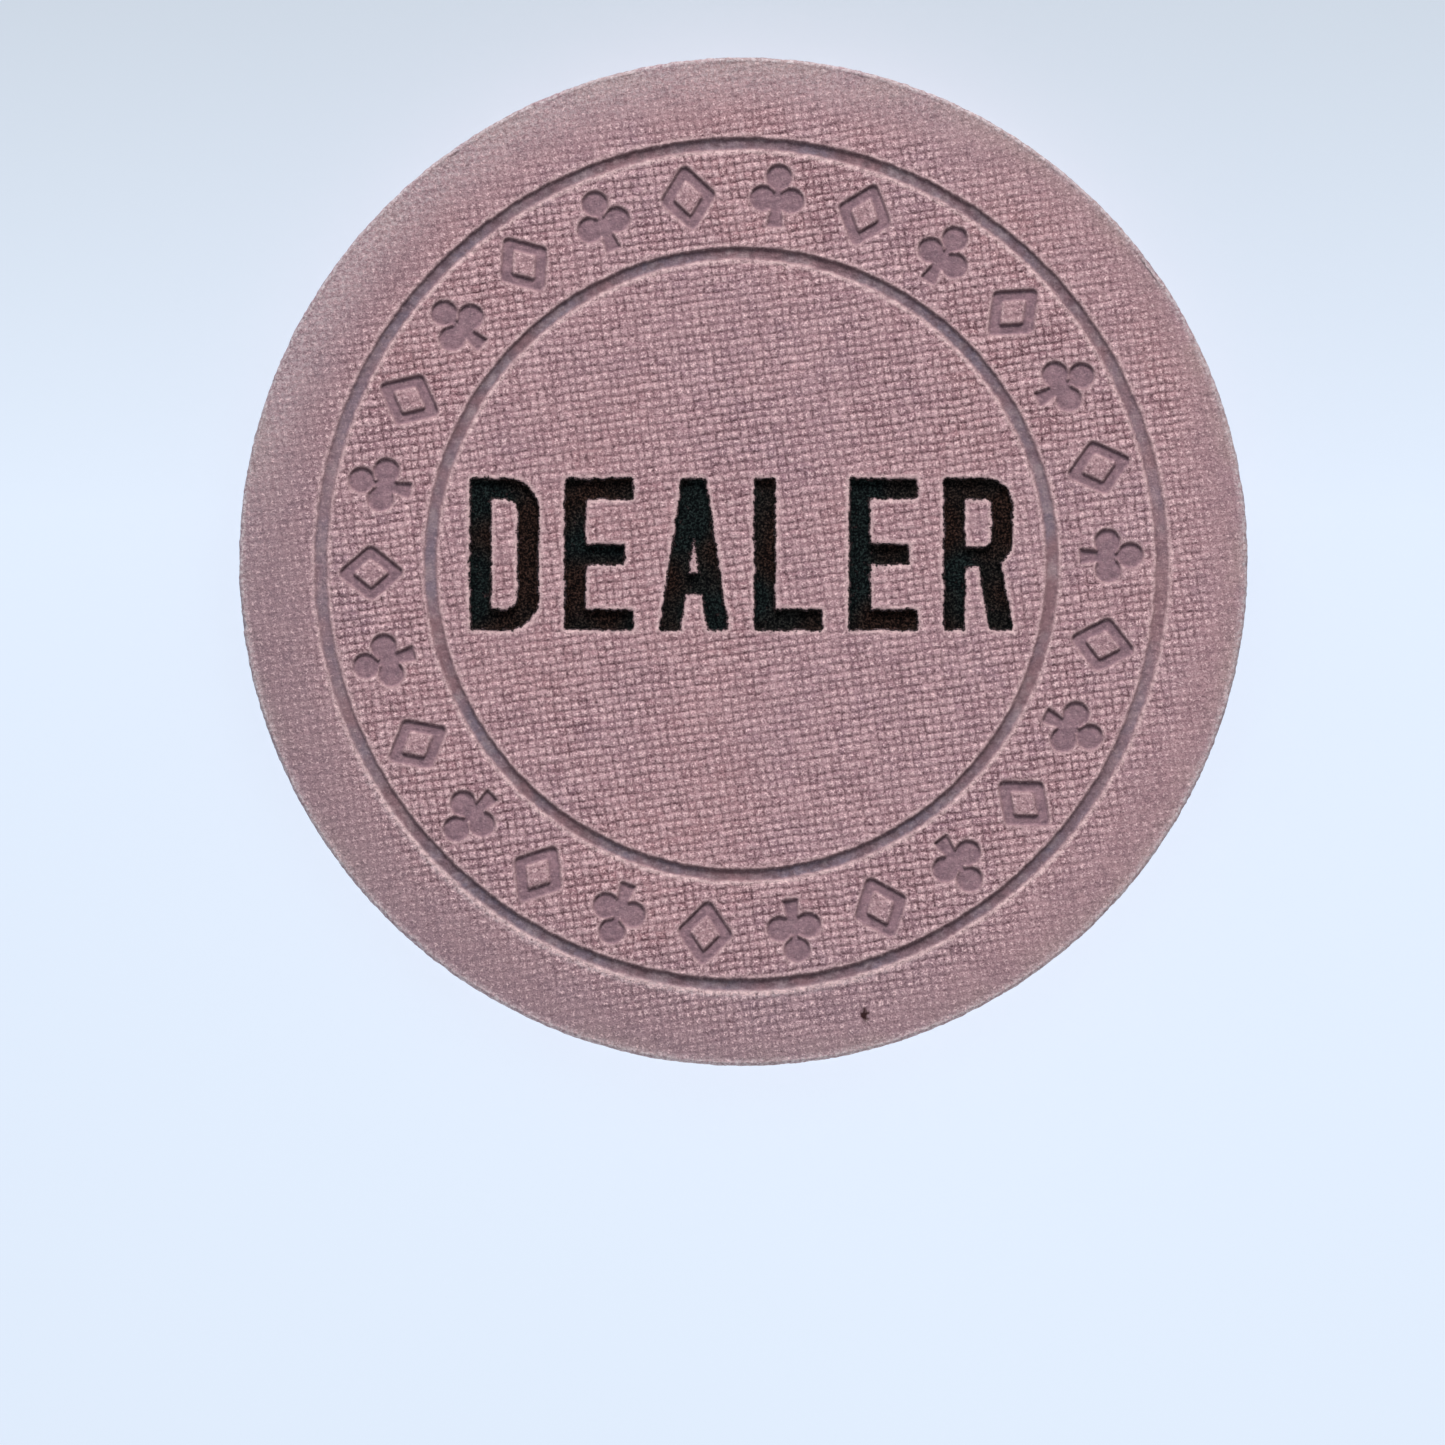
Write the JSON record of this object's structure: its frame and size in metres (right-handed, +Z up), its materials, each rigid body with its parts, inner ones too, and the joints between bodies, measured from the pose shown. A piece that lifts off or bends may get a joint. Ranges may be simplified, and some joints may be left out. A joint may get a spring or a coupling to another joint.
{
  "type": "dealer button",
  "caption": "Round moulded clay dealer button with ring grooves, sunk club and diamond marks and a foil-stamped word on both faces.",
  "frame": {"origin": "centre of the bottom face, which the button rests on", "axes": "+Z up through the disc, from the bottom face to the top face; +X along the word on the top face; +Y towards the tops of its letters"},
  "size_m": [0.039, 0.039, 0.0034],
  "materials": {
    "clay": "matte",
    "foil": "satin"
  },
  "bodies": {
    "root": {"clay_body": "clay", "front_letter_d": "foil", "front_letter_e1": "foil", "front_letter_a": "foil", "front_letter_l": "foil", "front_letter_e2": "foil", "front_letter_r": "foil", "back_letter_d": "foil", "back_letter_e1": "foil", "back_letter_a": "foil", "back_letter_l": "foil", "back_letter_e2": "foil", "back_letter_r": "foil"}
  },
  "joints": []
}
